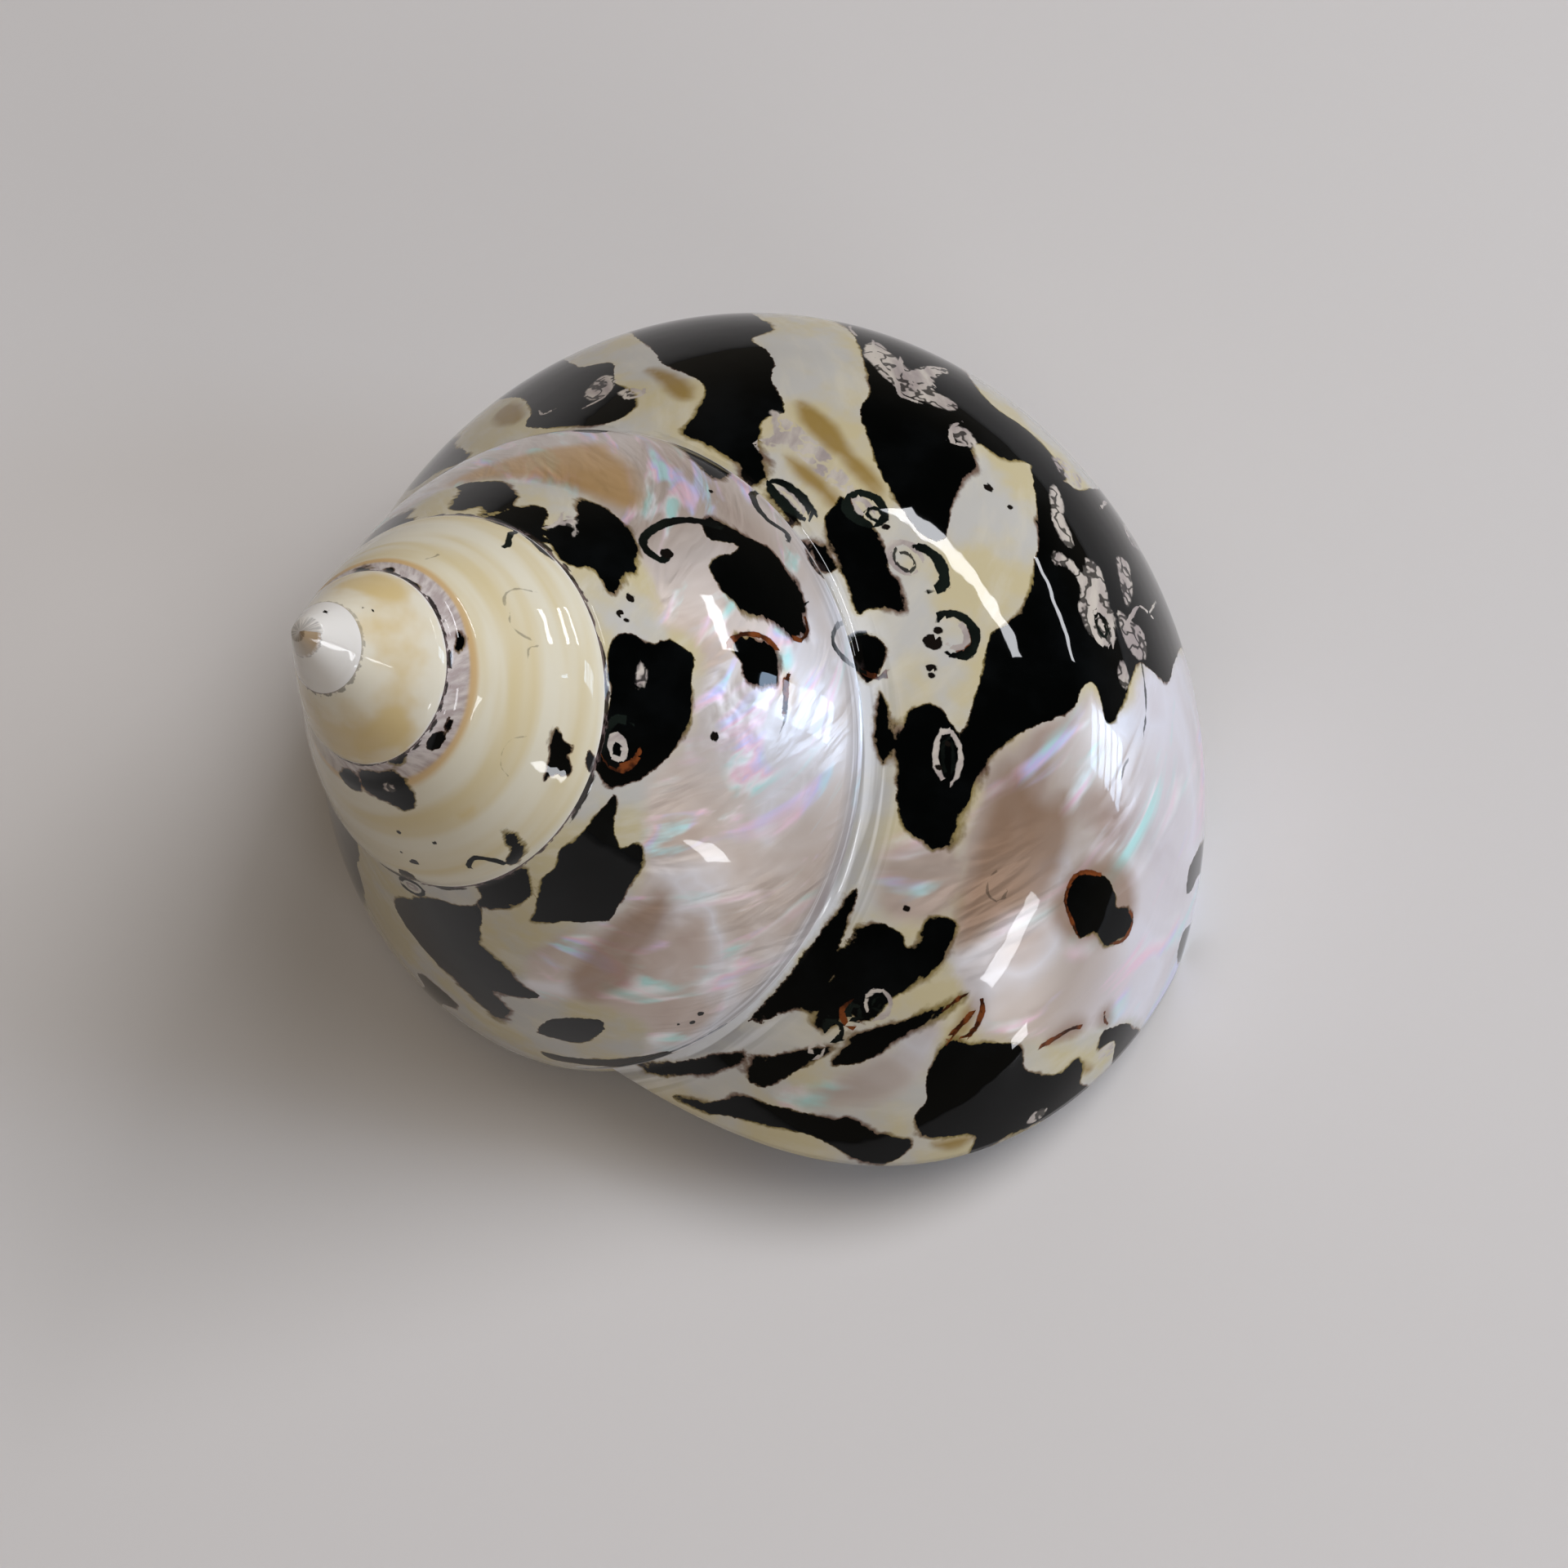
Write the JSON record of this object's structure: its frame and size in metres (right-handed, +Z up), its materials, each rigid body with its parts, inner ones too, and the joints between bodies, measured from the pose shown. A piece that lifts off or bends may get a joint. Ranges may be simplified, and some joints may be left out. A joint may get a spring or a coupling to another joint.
{
  "type": "top shell",
  "caption": "Polished conical sea snail shell of broad coiled whorls, black and cream over mother-of-pearl, lying on its base with its aperture turned down.",
  "frame": {"origin": "on the resting surface, under the middle of the shell's outline seen from above", "axes": "+Z up from the resting surface; +X along the longest extent, from the shell's left side to its lip; the spire leans towards +X and +Y"},
  "size_m": [0.068, 0.0602, 0.0533],
  "materials": {
    "shell": "polished"
  },
  "bodies": {
    "root": {"shell": "shell"}
  },
  "joints": []
}
